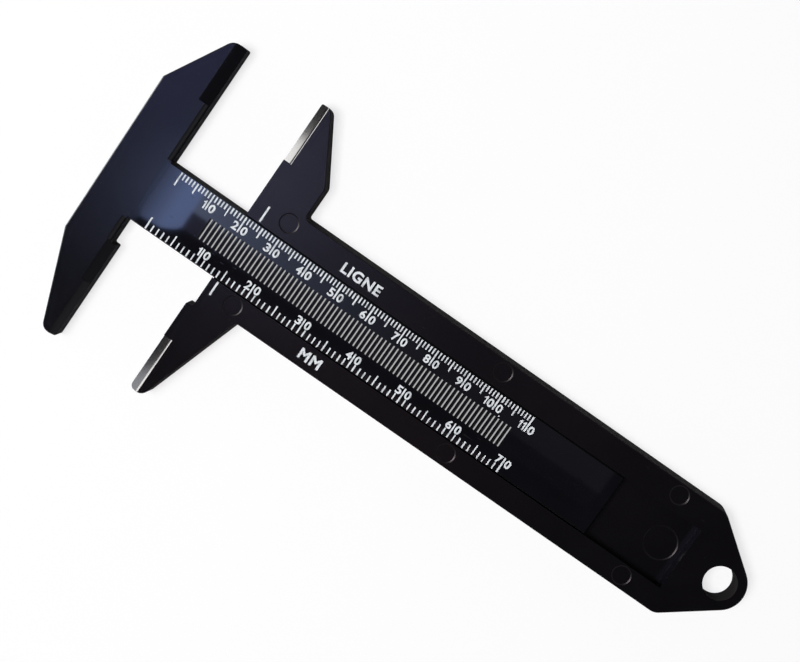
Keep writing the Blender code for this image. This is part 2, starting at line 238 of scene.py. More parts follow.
class Recipe(Tree):
    """A material's node tree, with the shader that it ends in."""

    def __init__(self, name: str) -> None:
        """Makes the material with a single Principled shader.

        Args:
            name: the material's name.
        """
        self.material = bpy.data.materials.new(name)
        self.material.use_nodes = True
        super().__init__(self.material.node_tree)
        self.shader = self.tree.nodes["Principled BSDF"]
        self._coordinates: Optional[bpy.types.Node] = None
        self._splits: dict[str, bpy.types.Node] = {}

    def _surface(self, output: str) -> bpy.types.NodeSocket:
        """Gives one output of the material's only Texture Coordinate node.

        Args:
            output: "Object" or "Normal".

        Returns:
            The output's socket.
        """
        if self._coordinates is None:
            self._coordinates = self.node("ShaderNodeTexCoord")
        return self._coordinates.outputs[output]

    def _part(self, output: str, axis: str) -> Signal:
        """Gives one axis of an output, which is split only once.

        Args:
            output: "Object" or "Normal".
            axis: "X", "Y" or "Z".

        Returns:
            The value along that axis.
        """
        if output not in self._splits:
            sockets = {0: self._surface(output)}
            self._splits[output] = self.node("ShaderNodeSeparateXYZ", None, sockets)
        return self.signal(self._splits[output], axis)

    def place(self) -> bpy.types.NodeSocket:
        """Gives the Object coordinates."""
        return self._surface("Object")

    def at(self, axis: str) -> Signal:
        """Gives the place along one axis, in metres."""
        return self._part("Object", axis)

    def facing(self, axis: str) -> Signal:
        """Gives how far the surface faces along one axis, from -1 to 1."""
        return self._part("Normal", axis)

    def stretched(self, shift: Point, turn: float, scale: Point) -> bpy.types.NodeSocket:
        """Moves, turns and stretches the Object coordinates.

        Args:
            shift: how far the pattern's origin moves.
            turn: how far it turns about Z, in degrees.
            scale: how its axes are scaled.

        Returns:
            The mapped coordinates.
        """
        sockets = {
            "Vector": self.place(),
            "Location": shift,
            "Rotation": (0, 0, math.radians(turn)),
            "Scale": scale,
        }
        return self.node("ShaderNodeMapping", None, sockets).outputs["Vector"]

    def noise(
        self,
        size: float,
        detail: float = 2.0,
        where: Optional[bpy.types.NodeSocket] = None,
        roughness: float = 0.5,
    ) -> Signal:
        """Adds a noise texture.

        Args:
            size: the width of its blobs, in metres.
            detail: how many finer layers it has.
            where: coordinates other than the plain Object ones.
            roughness: how strong the finer layers are.

        Returns:
            Its value, about 0.5 on average.
        """
        sockets = {
            "Vector": where or self.place(),
            "Scale": 1 / size,
            "Detail": detail,
            "Roughness": roughness,
        }
        made = self.node("ShaderNodeTexNoise", {"noise_dimensions": "3D"}, sockets)
        return self.signal(made, "Fac")

    def ramp(self, value: Signal, *stops: tuple[float, float]) -> Signal:
        """Runs a value through a ramp of grey stops.

        Args:
            value: what goes in.
            stops: places from 0 to 1, each with its brightness.

        Returns:
            The ramp's brightness.
        """
        made = self.node("ShaderNodeValToRGB", {"stops": stops}, {"Fac": value})
        return self.signal(made, "Color")

    def mix(self, share: Signal, first: object, second: object) -> bpy.types.NodeSocket:
        """Mixes two colours.

        Args:
            share: how much of the second there is.
            first: the first colour, or a socket that carries one.
            second: the second.

        Returns:
            The mixed colour.
        """
        first, second = (
            (*each, 1.0) if isinstance(each, tuple) and len(each) == 3 else each
            for each in (first, second)
        )
        made = self.node(
            "ShaderNodeMix", {"data_type": "RGBA"}, {0: share, 6: first, 7: second}
        )
        return made.outputs[2]

    def bump(self, height: Signal, depth: float) -> bpy.types.NodeSocket:
        """Turns a height into a normal.

        Args:
            height: the height, in units of depth.
            depth: how high 1 stands, in metres.

        Returns:
            The normal.
        """
        sockets = {"Height": height, "Distance": depth, "Strength": 1.0}
        return self.node("ShaderNodeBump", None, sockets).outputs["Normal"]


# Finishes


@dataclass(frozen=True)
class Spot:
    """A faint round mark that a mould pin left in a plastic's skin."""

    x: float
    y: float
    radius: float
    width: float = 0.08 * MM


@dataclass(frozen=True)
class MouldedPlastic:
    """A dyed moulded plastic with a fine skin, hair scratches and dust."""

    name: str
    colour: Colour
    mottle: Colour
    roughness: float
    roughness_spread: float
    specular: float
    tint: Colour = (1.0, 1.0, 1.0)
    pale: float = 0.06
    pale_gain: float = 2.0
    cloud: float = 9 * MM
    cloud_band: tuple[float, float] = (0.35, 0.65)
    smear: float = 3 * MM
    smear_turn: float = 8.0
    smear_stretch: float = 0.25
    least_uneven: float = 0.2
    grain: float = 0.12 * MM
    grain_depth: float = 0.0012 * MM
    scratch_width: float = 0.22 * MM
    scratch_stretch: float = 0.09
    scratch_band: tuple[float, float] = (0.79, 0.86)
    scratch_depth: float = 0.0012 * MM
    scratch_shade: float = 0.12
    scratch_roughness: float = 0.08
    dust: float = 0.02
    dust_spacing: float = 1.6 * MM
    dust_reach: float = 0.035
    dust_roughness: float = 0.2
    spots: tuple[Spot, ...] = ()
    ring_height: float = 3.0
    wall_rise: float = 0.35
    wall_roughness: float = 0.70
    end_wall: Optional[tuple[float, float]] = None
    end_wall_half_width: float = 6.5 * MM
    end_wall_roughness: float = 0.20
    bevel_rise: float = 0.5
    bevel_lean: float = -0.42
    bevel_roughness: float = 0.08
    bevels_end: float = 0.5 * MM
    polished_from: Optional[float] = None
    polished_over: float = 2.4 * MM
    polished_at_once: float = 0.4
    polished_half_width: float = 0.0
    polished_roughness: float = 0.03
    slope_roughness: Optional[float] = None
    level_rise: float = 0.97
    grooves_below: Optional[float] = None
    groove_blend: float = 0.03 * MM
    groove_half_width: float = 2.1 * MM
    groove_roughness: float = 0.95

    def build(self) -> bpy.types.Material:
        """Builds the material.

        Returns:
            The finished material.
        """
        recipe = Recipe(self.name)
        shader = recipe.shader
        cloud = recipe.noise(self.cloud, detail=3)
        skin = recipe.noise(self.grain, detail=2)
        scratches = self._scratches(recipe)
        dust = self._dust(recipe)
        low, high = self.cloud_band
        mottled = recipe.ramp(cloud, (low, 0.0), (high, 1.0))
        dye = recipe.mix(mottled, self.colour, self.mottle)
        pale = tuple(self.pale + self.pale_gain * part for part in self.colour)
        share = (scratches * self.scratch_shade + dust * self.dust).clamped()
        recipe.feed(shader.inputs["Base Color"], recipe.mix(share, dye, pale))
        drawn_out = recipe.stretched((0, 0, 0), self.smear_turn, (self.smear_stretch, 1, 1))
        smear = recipe.noise(self.smear, detail=4, where=drawn_out)
        polish = self._polish(recipe)
        wall, bevel = self._wall(recipe), self._bevel(recipe)
        dull = (1 - polish) * (1 - bevel)
        spread = self.least_uneven + (1 - self.least_uneven) * dull
        rough = self._base_roughness(recipe, polish, wall, bevel)
        rough = rough + (smear - 0.5) * self.roughness_spread * spread
        rough = rough + scratches * self.scratch_roughness + dust * self.dust_roughness
        recipe.feed(shader.inputs["Roughness"], rough)
        height = skin * dull + scratches * (-self.scratch_depth / self.grain_depth)
        for spot in self.spots:
            height = height + self._ring(recipe, spot)
        recipe.feed(shader.inputs["Normal"], recipe.bump(height, self.grain_depth))
        shader.inputs["Specular IOR Level"].default_value = self.specular
        shader.inputs["Specular Tint"].default_value = (*self.tint, 1.0)
        return recipe.material

    def _polish(self, recipe: Recipe) -> Value:
        """Gives how far each place is polished, from 0 to 1.

        Args:
            recipe: the material's tree.

        Returns:
            The share of polish.
        """
        if self.polished_from is None:
            return 0.0
        past = recipe.at("X") - self.polished_from
        share = (past / self.polished_over + self.polished_at_once).clamped()
        inside = abs(recipe.at("Y")).below(self.polished_half_width)
        return share * past.above(0.0) * inside

    def _wall(self, recipe: Recipe) -> Signal:
        """Gives 1 on the upright walls."""
        return abs(recipe.facing("Z")).below(self.wall_rise)

    def _bevel(self, recipe: Recipe) -> Signal:
        """Gives 1 on the jaws' bevels, which slope towards the head.

        Args:
            recipe: the material's tree.

        Returns:
            The bevels' mask.
        """
        slope = recipe.facing("Z").above(self.bevel_rise)
        slope = slope * recipe.facing("X").below(self.bevel_lean)
        return slope * recipe.at("X").below(self.bevels_end)

    def _base_roughness(
        self, recipe: Recipe, polish: Value, wall: Signal, bevel: Signal
    ) -> Value:
        """Gives the roughness: dull on walls and in grooves, smooth on bevels and the polish.

        Args:
            recipe: the material's tree.
            polish: the share of polish.
            wall: the walls' mask.
            bevel: the bevels' mask.

        Returns:
            The roughness before its unevenness.
        """
        rough = self.roughness + wall * (self.wall_roughness - self.roughness)
        if self.end_wall is not None:
            start, end = self.end_wall
            inner = wall * recipe.at("X").above(start) * recipe.at("X").below(end)
            inner = inner * abs(recipe.at("Y")).below(self.end_wall_half_width)
            rough = rough + inner * (self.end_wall_roughness - self.wall_roughness)
        rough = rough + bevel * (self.bevel_roughness - self.roughness)
        level = polish * (1 - wall) * (1 - bevel)
        rough = rough + level * (self.polished_roughness - self.roughness)
        if self.slope_roughness is not None:
            up = recipe.facing("Z")
            slope = up.above(self.wall_rise) * up.below(self.level_rise) * (1 - bevel)
            rough = rough + slope * (self.slope_roughness - self.roughness)
        if self.grooves_below is not None:
            under = ((self.grooves_below - recipe.at("Z")) / self.groove_blend).clamped()
            groove = under * abs(recipe.at("Y")).below(self.groove_half_width)
            rough = rough + groove * (self.groove_roughness - rough)
        return rough

    def _scratches(self, recipe: Recipe) -> Signal:
        """Draws sparse hair scratches that run mostly along the slide.

        Args:
            recipe: the material's tree.

        Returns:
            The scratches, 0 to 1.
        """
        lines = None
        low, high = self.scratch_band
        for turn, shift in SCRATCH_RUNS:
            where = recipe.stretched((shift, shift, 0), turn, (self.scratch_stretch, 1, 1))
            streak = recipe.noise(self.scratch_width, detail=1, where=where)
            line = recipe.ramp(streak, (low, 0.0), (high, 1.0))
            lines = line if lines is None else lines + line
        return lines.clamped()

    def _dust(self, recipe: Recipe) -> Signal:
        """Scatters fine dust.

        Args:
            recipe: the material's tree.

        Returns:
            1 on each speck, else 0.
        """
        sockets = {"Vector": recipe.place(), "Scale": 1 / self.dust_spacing, "Randomness": 1.0}
        made = recipe.node("ShaderNodeTexVoronoi", {"feature": "F1"}, sockets)
        return recipe.signal(made, "Distance").below(self.dust_reach)

    def _ring(self, recipe: Recipe, spot: Spot) -> Signal:
        """Raises a thin ring round a pin mark.

        Args:
            recipe: the material's tree.
            spot: the mark.

        Returns:
            The ring's height, in grain depths.
        """
        along, across = recipe.at("X") - spot.x, recipe.at("Y") - spot.y
        reach = (along * along + across * across).raised(0.5)
        return (1 - abs(reach - spot.radius) / spot.width).clamped() * self.ring_height


@dataclass(frozen=True)
class ScaleInk:
    """The white ink of the scales and labels, laid a little unevenly."""

    name: str
    colour: Colour
    thin: Colour
    roughness: float
    worn_roughness: float = 0.15
    patch: float = 0.9 * MM
    patch_stops: tuple[tuple[float, float], ...] = ((0.48, 0.0), (0.72, 0.8))
    grain: float = 0.10 * MM
    grain_share: float = 0.3
    grain_depth: float = 0.002 * MM
    specular: float = 0.35

    def build(self) -> bpy.types.Material:
        """Builds the material.

        Returns:
            The finished material.
        """
        recipe = Recipe(self.name)
        patches = recipe.ramp(recipe.noise(self.patch, detail=3), *self.patch_stops)
        grain = recipe.noise(self.grain, detail=1)
        worn = (patches + (grain - 0.5) * self.grain_share).clamped()
        shader = recipe.shader
        recipe.feed(shader.inputs["Base Color"], recipe.mix(worn, self.colour, self.thin))
        recipe.feed(shader.inputs["Roughness"], self.roughness + worn * self.worn_roughness)
        recipe.feed(shader.inputs["Normal"], recipe.bump(grain, self.grain_depth))
        shader.inputs["Specular IOR Level"].default_value = self.specular
        return recipe.material


@dataclass(frozen=True)
class Paper:
    """The white paper that the gauge lies on, in a studio."""

    name: str = "white_paper"
    colour: Colour = (0.27, 0.27, 0.27)
    lift: Colour = (0.742, 0.739, 0.746)
    fibre: float = 0.8 * MM
    fibre_depth: float = 0.004 * MM
    roughness: float = 0.9
    specular: float = 0.1

    def build(self) -> bpy.types.Material:
        """Builds the material, brighter to the camera than the light alone makes it.

        Returns:
            The finished material.
        """
        recipe = Recipe(self.name)
        inputs = recipe.shader.inputs
        recipe.feed(inputs["Base Color"], (*self.colour, 1.0))
        fibres = recipe.noise(self.fibre, detail=4)
        recipe.feed(inputs["Normal"], recipe.bump(fibres, self.fibre_depth))
        recipe.feed(inputs["Emission Color"], (*self.lift, 1.0))
        seen = recipe.signal(recipe.node("ShaderNodeLightPath"), "Is Camera Ray")
        recipe.feed(inputs["Emission Strength"], seen)
        recipe.feed(inputs["Roughness"], self.roughness)
        recipe.feed(inputs["Specular IOR Level"], self.specular)
        return recipe.material


# Pieces


def finish_piece(
    piece: bpy.types.Object, carrier: Carrier, material: Optional[bpy.types.Material] = None
) -> bpy.types.Object:
    """Gives a piece its body and, where it has none, its material.

    Args:
        piece: the finished piece, at the origin.
        carrier: the body that it rides on.
        material: what it is dressed in.

    Returns:
        The piece.
    """
    if material is not None:
        piece.data.materials.clear()
        piece.data.materials.append(material)
    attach(piece, carrier.body)
    LOG.info("%s: %d faces, rides on %s", piece.name, len(piece.data.polygons), carrier.body)
    return piece


def drawn(name: str, shape: bmesh.types.BMesh) -> bpy.types.Mesh:
    """Turns a drawing into a mesh and frees it.

    Args:
        name: the mesh's name.
        shape: the drawing.

    Returns:
        The mesh.
    """
    mesh = bpy.data.meshes.new(name)
    shape.to_mesh(mesh)
    shape.free()
    return mesh


def placed(name: str, mesh: bpy.types.Mesh) -> bpy.types.Object:
    """Puts a mesh in the scene as an object at the origin.

    Args:
        name: the name of both.
        mesh: the mesh, with its place in it.

    Returns:
        The object.
    """
    mesh.name = name
    piece = bpy.data.objects.new(name, mesh)
    bpy.context.scene.collection.objects.link(piece)
    return piece


def settled(source: bpy.types.Object) -> bpy.types.Mesh:
    """Turns an object with its modifiers into a plain mesh, and removes it with its data.

    Args:
        source: a mesh or text object.

    Returns:
        The evaluated mesh.
    """
    bpy.context.view_layer.update()
    graph = bpy.context.evaluated_depsgraph_get()
    mesh = bpy.data.meshes.new_from_object(source.evaluated_get(graph))
    data, kind = source.data, source.type
    bpy.data.objects.remove(source, do_unlink=True)
    (bpy.data.curves if kind == "FONT" else bpy.data.meshes).remove(data)
    return mesh


@dataclass
class Moulding:
    """One moulding of the gauge: a merged copy of its solid, shaded flat where it is level.

    The overlap clamp holds the edge rounding to about 0.0015 mm. Without it the shading of the
    rule's large top face is damaged.
    """

    node: str
    name: str
    carrier: Carrier
    finish: MouldedPlastic
    edge_radius: float = 0.05 * MM
    edge_segments: int = 2
    weld: float = 0.001 * MM
    flat_angle: float = math.radians(0.4)
    crisp_angle: float = math.radians(14)
    level_cosine: float = 0.9995
    sharp_angle: float = math.radians(32)

    def build(self) -> bpy.types.Object:
        """Builds the moulding and puts it in place of its solid.

        Returns:
            The piece.
        """
        piece = placed(self.name, self._merged())
        edges = piece.modifiers.new("broken_edges", "BEVEL")
        edges.width = self.edge_radius
        edges.segments = self.edge_segments
        edges.limit_method = "ANGLE"
        edges.angle_limit = self.sharp_angle
        edges.use_clamp_overlap = True
        shading = piece.modifiers.new("flat_faces_first", "WEIGHTED_NORMAL")
        shading.keep_sharp = True
        piece = placed(self.name, settled(piece))
        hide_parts(self.node)
        return finish_piece(piece, self.carrier, self.finish.build())

    def _merged(self) -> bpy.types.Mesh:
        """Copies the solid's mesh, welds its loose triangles and joins its flat faces.

        Returns:
            The merged mesh.
        """
        shape = bmesh.new()
        shape.from_mesh(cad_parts[self.node].data)
        bmesh.ops.remove_doubles(shape, verts=shape.verts, dist=self.weld)
        bmesh.ops.dissolve_limit(
            shape, angle_limit=self.flat_angle, verts=shape.verts, edges=shape.edges
        )
        shape.normal_update()
        for face in shape.faces:
            face.smooth = abs(face.normal.z) < self.level_cosine
        for edge in shape.edges:
            turn = edge.calc_face_angle(0.0)
            edge.smooth = not self.crisp_angle < turn < self.sharp_angle
        return drawn(self.name, shape)


class TickTree(Tree):
    """The node tree that draws a row of ticks whose lengths follow from their numbers."""

    TEN_WIDENING = 0.12
    INPUTS = {
        "Count": ("NodeSocketInt", 11),
        "Pitch": ("NodeSocketFloat", 1 * MM),
        "Start": ("NodeSocketVector", (0, 0, 0)),
        "Inward": ("NodeSocketFloat", -1.0),
        "Plain Length": ("NodeSocketFloat", 1.1 * MM),
        "Five Length": ("NodeSocketFloat", 1.9 * MM),
        "Ten Length": ("NodeSocketFloat", 2.9 * MM),
        "Zero Length": ("NodeSocketFloat", 2.2 * MM),
        "Width": ("NodeSocketFloat", 0.25 * MM),
        "Thickness": ("NodeSocketFloat", 0.03 * MM),
        "Unevenness": ("NodeSocketFloat", 0.1),
        "Seed": ("NodeSocketInt", 3),
        "Ink": ("NodeSocketMaterial", None),
    }

    def __init__(self, name: str = "tick_row") -> None:
        """Builds the tree.

        Args:
            name: the node group's name.
        """
        super().__init__(bpy.data.node_groups.new(name, "GeometryNodeTree"))
        for label, (kind, default) in self.INPUTS.items():
            socket = self.tree.interface.new_socket(label, in_out="INPUT", socket_type=kind)
            if default is not None:
                socket.default_value = default
        self.tree.interface.new_socket(
            "Geometry", in_out="OUTPUT", socket_type="NodeSocketGeometry"
        )
        self.given = self.node("NodeGroupInput")
        self._draw()

    def _input(self, label: str) -> Signal:
        """Wraps one of the tree's own inputs."""
        return self.signal(self.given, label)

    def _vector(self, x: Value, y: Value, z: Value) -> bpy.types.NodeSocket:
        """Joins three values into a vector."""
        return self.node("ShaderNodeCombineXYZ", None, {0: x, 1: y, 2: z}).outputs[0]

    def _draw(self) -> None:
        """Adds the nodes: a line of points, one block on each, realised and inked."""
        line = self.node(
            "GeometryNodeMeshLine",
            {"mode": "OFFSET", "count_mode": "TOTAL"},
            {
                "Count": self._input("Count"),
                "Start Location": self._input("Start"),
                "Offset": self._vector(self._input("Pitch"), 0.0, 0.0),
            },
        )
        block = self.node("GeometryNodeMeshCube", None, {"Size": (1, 1, 1)})
        hung = self.node(
            "GeometryNodeTransform",
            None,
            {
                "Geometry": block.outputs["Mesh"],
                "Translation": self._vector(0.0, self._input("Inward") * 0.5, 0.5),
            },
        )
        number = self.signal(self.node("GeometryNodeInputIndex"))
        ten = (number % 10.0).below(0.5)
        five = (number % 5.0).below(0.5) - ten
        zero = number.below(0.5)
        length = (
            self._input("Plain Length") * (1 - five - ten)
            + self._input("Five Length") * five
            + self._input("Ten Length") * (ten - zero)
            + self._input("Zero Length") * zero
        )
        spread = self.node(
            "FunctionNodeRandomValue", {"data_type": "FLOAT"}, {"Seed": self._input("Seed")}
        )
        uneven = 1 + (self.signal(spread, 1) - 0.5) * self._input("Unevenness") * 2
        width = self._input("Width") * uneven * (1 + ten * self.TEN_WIDENING)
        ticks = self.node(
            "GeometryNodeInstanceOnPoints",
            None,
            {
                "Points": line.outputs["Mesh"],
                "Instance": hung.outputs["Geometry"],
                "Scale": self._vector(width, length, self._input("Thickness")),
            },
        )
        real = self.node(
            "GeometryNodeRealizeInstances", None, {"Geometry": ticks.outputs["Instances"]}
        )
        inked = self.node(
            "GeometryNodeSetMaterial",
            None,
            {"Geometry": real.outputs["Geometry"], "Material": self._input("Ink")},
        )
        self.node("NodeGroupOutput", None, {"Geometry": inked.outputs["Geometry"]})

    def row(self, name: str, values: dict) -> bpy.types.Object:
        """Makes a row of ticks as a plain mesh.

        Args:
            name: the piece's name.
            values: the tree's inputs by name.

        Returns:
            The piece, at the origin.
        """
        holder = placed(name, bpy.data.meshes.new(name))
        modifier = holder.modifiers.new("ticks", "NODES")
        modifier.node_group = self.tree
        sockets = {item.name: item.identifier for item in self.tree.interface.items_tree}
        for label, value in values.items():
            modifier[sockets[label]] = value
        return placed(name, settled(holder))


@dataclass(frozen=True)
class Letter:
    """A run of letters or digits with the box that its print fills, from its left foot."""

    text: str
    left: float
    foot: float
    width: float
    height: float


@dataclass
class Print:
    """Letters printed on a flat face."""

    name: str
    carrier: Carrier
    surface: float
    ink: bpy.types.Material
    letters: list[Letter] = field(default_factory=list)
    boldness: float = 0.030
    spacing: float = 1.0
    thickness: float = 0.03 * MM
    sink: float = 0.01 * MM
    weld: float = 0.0005 * MM

    def build(self) -> bpy.types.Object:
        """Builds the print as one mesh.

        Returns:
            The piece.
        """
        sheet = bmesh.new()
        for letter in self.letters:
            outline = self._outline(letter)
            sheet.from_mesh(outline)
            bpy.data.meshes.remove(outline)
        bmesh.ops.remove_doubles(sheet, verts=sheet.verts, dist=self.weld)
        piece = placed(self.name, drawn(self.name, sheet))
        return finish_piece(piece, self.carrier, self.ink)

    def _outline(self, letter: Letter) -> bpy.types.Mesh:
        """Makes one run of letters fill its box.

        Args:
            letter: the letters and their box.

        Returns:
            Their mesh, standing on the face.
        """
        if letter.text == "1":
            return self._fitted(self._one(), letter)
        text = bpy.data.curves.new("letters", "FONT")
        text.body = letter.text
        text.size = 1
        text.offset = self.boldness
        text.space_character = self.spacing
        text.extrude = 0.5
        text.resolution_u = 4
        source = bpy.data.objects.new("letters", text)
        bpy.context.scene.collection.objects.link(source)
        return self._fitted(settled(source), letter)

    @staticmethod
    def _one() -> bpy.types.Mesh:
        """Draws the digit one as a stem with a short flag, 1 high.

        Returns:
            Its mesh, 1 thick.
        """
        shape = bmesh.new()
        face = shape.faces.new([shape.verts.new((x, y, 0)) for x, y in (*ONE_STEM, *ONE_FLAG)])
        raised = bmesh.ops.extrude_face_region(shape, geom=[face])
        tops = [each for each in raised["geom"] if isinstance(each, bmesh.types.BMVert)]
        bmesh.ops.translate(shape, verts=tops, vec=(0, 0, 1))
        bmesh.ops.recalc_face_normals(shape, faces=shape.faces)
        return drawn("one", shape)

    def _fitted(self, mesh: bpy.types.Mesh, letter: Letter) -> bpy.types.Mesh:
        """Fits a drawn letter into its box on the face.

        Args:
            mesh: the letter at any size.
            letter: its box.

        Returns:
            The same mesh, in its place.
        """
        low, high = corners(mesh)
        span = high - low
        scale = Matrix.Diagonal(
            (letter.width / span.x, letter.height / span.y, self.thickness / span.z, 1)
        )
        bottom = self.surface - self.sink
        mesh.transform(scale @ Matrix.Translation(-low))
        mesh.transform(Matrix.Translation((letter.left, letter.foot, bottom)))
        return mesh


def corners(mesh: bpy.types.Mesh) -> tuple[Vector, Vector]:
    """Finds the corners of a mesh's box.

    Args:
        mesh: the mesh.

    Returns:
        Its lowest and its highest corner.
    """
    places = [vert.co for vert in mesh.vertices]
    low = Vector(min(place[axis] for place in places) for axis in range(3))
    high = Vector(max(place[axis] for place in places) for axis in range(3))
    return low, high


def bar(name: str, low: Vector, high: Vector, softening: float = 0.2) -> bpy.types.Mesh:
    """Makes a short printed bar with softened corners.

    Args:
        name: the mesh's name.
        low: its lowest corner.
        high: its highest corner.
        softening: the share of its narrower side that each corner takes.

    Returns:
        The mesh.
    """
    shape = bmesh.new()
    middle, span = (low + high) / 2, high - low
    matrix = Matrix.Translation(middle) @ Matrix.Diagonal((*span, 1))
    bmesh.ops.create_cube(shape, size=1, matrix=matrix)
    upright = [
        edge
        for edge in shape.edges
        if abs(edge.verts[0].co.z - edge.verts[1].co.z) > span.z / 2
    ]
    bmesh.ops.bevel(
        shape,
        geom=upright,
        offset=min(span.x, span.y) * softening,
        offset_type="OFFSET",
        segments=2,
        profile=0.5,
        affect="EDGES",
    )
    return drawn(name, shape)


@dataclass
class RuleScale:
    """One of the rule's two printed scales: ticks and the numbers at its tens."""

    unit: str
    side: Side
    pitch: float
    last: int
    outer: float
    ten_length: float
    zero_length: float
    foot: float
    surface: float
    ink: bpy.types.Material
    plain_length: float = 1.10 * MM
    five_length: float = 1.88 * MM
    tick_width: float = 0.25 * MM
    digit_height: float = 1.50 * MM
    digit_width: float = 1.04 * MM
    one_width: float = 0.52 * MM
    gap_left: float = 0.33 * MM
    gap_right: float = 0.36 * MM
    digit_gap: float = 0.20 * MM
    thickness: float = 0.03 * MM
    sink: float = 0.01 * MM
    unevenness: float = 0.12
    seed: int = 7

    def build(self, ticks: TickTree) -> list[bpy.types.Object]:
        """Builds the scale's ticks and numbers.

        Args:
            ticks: the node tree that draws a row of ticks.

        Returns:
            The two pieces.
        """
        start = (-REST_READING, self.side.value * self.outer, self.surface - self.sink)
        row = ticks.row(
            f"{self.unit}_ticks",
            {
                "Count": self.last + 1,
                "Pitch": self.pitch,
                "Start": start,
                "Inward": float(-self.side.value),
                "Plain Length": self.plain_length,
                "Five Length": self.five_length,
                "Ten Length": self.ten_length,
                "Zero Length": self.zero_length,
                "Width": self.tick_width,
                "Thickness": self.thickness,
                "Unevenness": self.unevenness,
                "Seed": self.seed + self.side.value,
                "Ink": self.ink,
            },
        )
        finish_piece(row, Carrier.RULE)
        numbers = Print(
            f"{self.unit}_numbers", Carrier.RULE, self.surface, self.ink, self._numbers()
        )
        return [row, numbers.build()]

    def _numbers(self) -> list[Letter]:
        """Lays out the digits on both sides of each ten's tick.

        Returns:
            The digits with their boxes.
        """
        letters = []
        for ten in range(10, self.last + 1, 10):
            tick = ten * self.pitch - REST_READING
            before, after = str(ten)[:-1], str(ten)[-1]
            right = tick - self.gap_left
            for digit in reversed(before):
                width = self.one_width if digit == "1" else self.digit_width
                letters.append(self._digit(digit, right - width, width))
                right -= width + self.digit_gap
            letters.append(self._digit(after, tick + self.gap_right, self.digit_width))
        return letters

    def _digit(self, digit: str, left: float, width: float) -> Letter:
        """Places one digit."""
        return Letter(digit, left, self.foot, width, self.digit_height)


@dataclass
class BodyPrint:
    """What is printed on the body: the unit labels and the index marks."""

    surface: float
    ink: bpy.types.Material
    thickness: float = 0.02 * MM
    sink: float = 0.01 * MM
    mark_width: float = 0.34 * MM
    ligne_mark: tuple[float, float] = (6.08 * MM, 9.02 * MM)
    millimetre_mark: tuple[float, float] = (-8.51 * MM, -5.93 * MM)
    ligne: Letter = Letter("LIGNE", 15.27 * MM, 6.89 * MM, 7.52 * MM, 1.88 * MM)
    millimetre: Letter = Letter("MM", 17.44 * MM, -8.69 * MM, 4.08 * MM, 1.89 * MM)
    boldness: float = 0.032
    spacing: float = 1.12

    def build(self) -> list[bpy.types.Object]:
        """Builds the labels and the marks.

        Returns:
            The pieces.
        """
        pieces = []
        half, bottom = self.mark_width / 2, self.surface - self.sink
        marks = {
            "ligne_index_mark": self.ligne_mark,
            "millimetre_index_mark": self.millimetre_mark,
        }
        for name, (low, high) in marks.items():
            corner = Vector((half, high, bottom + self.thickness))
            mesh = bar(name, Vector((-half, low, bottom)), corner)
            pieces.append(finish_piece(placed(name, mesh), Carrier.BODY, self.ink))
        labels = {"ligne_label": self.ligne, "millimetre_label": self.millimetre}
        for name, letter in labels.items():
            label = Print(name, Carrier.BODY, self.surface, self.ink, [letter])
            label.boldness = self.boldness
            label.spacing = self.spacing
            label.thickness = self.thickness
            pieces.append(label.build())
        return pieces


# Studio


@dataclass(frozen=True)
class Panel:
    """A flat lamp, given by its middle, its size, its colour and its radiance.

    It shows either in the gloss or in the matt light, so that the two are set apart.
    """

    name: str
    place: Point
    size: tuple[float, float]
    colour: Colour
    radiance: float
    target: Point = (0.0, 0.0, 0.0)
    glossy: bool = True

    def build(self) -> bpy.types.Object:
        """Builds the lamp, facing its target.

        Returns:
            The lamp's object.
        """
        lamp = bpy.data.lights.new(self.name, "AREA")
        lamp.shape = "RECTANGLE"
        lamp.size, lamp.size_y = self.size
        lamp.color = self.colour
        lamp.energy = self.radiance * math.pi * self.size[0] * self.size[1]
        panel = bpy.data.objects.new(self.name, lamp)
        panel.location = self.place
        way = Vector(self.target) - Vector(self.place)
        panel.rotation_euler = way.to_track_quat("-Z", "Y").to_euler()
        panel.visible_camera = False
        panel.visible_glossy = self.glossy
        panel.visible_diffuse = not self.glossy
        bpy.context.scene.collection.objects.link(panel)
        return panel


@dataclass(frozen=True)
class Card:
    """A flat glowing sheet overhead that the gauge's glossy faces mirror.

    Its glow passes to another colour along an axis, between two places.
    """

    name: str
    outline: tuple[tuple[float, float], ...]
    glow: Colour
    faded: Optional[Colour] = None
    axis: str = "X"
    fade: tuple[float, float] = (0.0, 1.0)
    power: float = 1.0
    height: float = 0.6

    def build(self) -> bpy.types.Object:
        """Builds the sheet, which only the gloss sees.

        Returns:
            The sheet's object.
        """
        shape = bmesh.new()
        verts = [shape.verts.new((x, y, self.height)) for x, y in self.outline]
        shape.faces.new(verts)
        mesh = drawn(self.name, shape)
        mesh.materials.append(self._material())
        card = placed(self.name, mesh)
        card.visible_camera = False
        card.visible_diffuse = False
        card.visible_shadow = False
        return card

    def _material(self) -> bpy.types.Material:
        """Makes the sheet's glow.

        Returns:
            The material.
        """
        recipe = Recipe(self.name)
        shader = recipe.shader
        shader.inputs["Base Color"].default_value = (0, 0, 0, 1)
        shader.inputs["Emission Color"].default_value = (*self.glow, 1)
        shader.inputs["Emission Strength"].default_value = 1.0
        if self.faded is not None:
            start, end = self.fade
            left = (1 - (recipe.at(self.axis) - start) / (end - start)).clamped()
            share = left.raised(self.power)
            recipe.feed(shader.inputs["Emission Color"], recipe.mix(share, self.faded, self.glow))
        return recipe.material


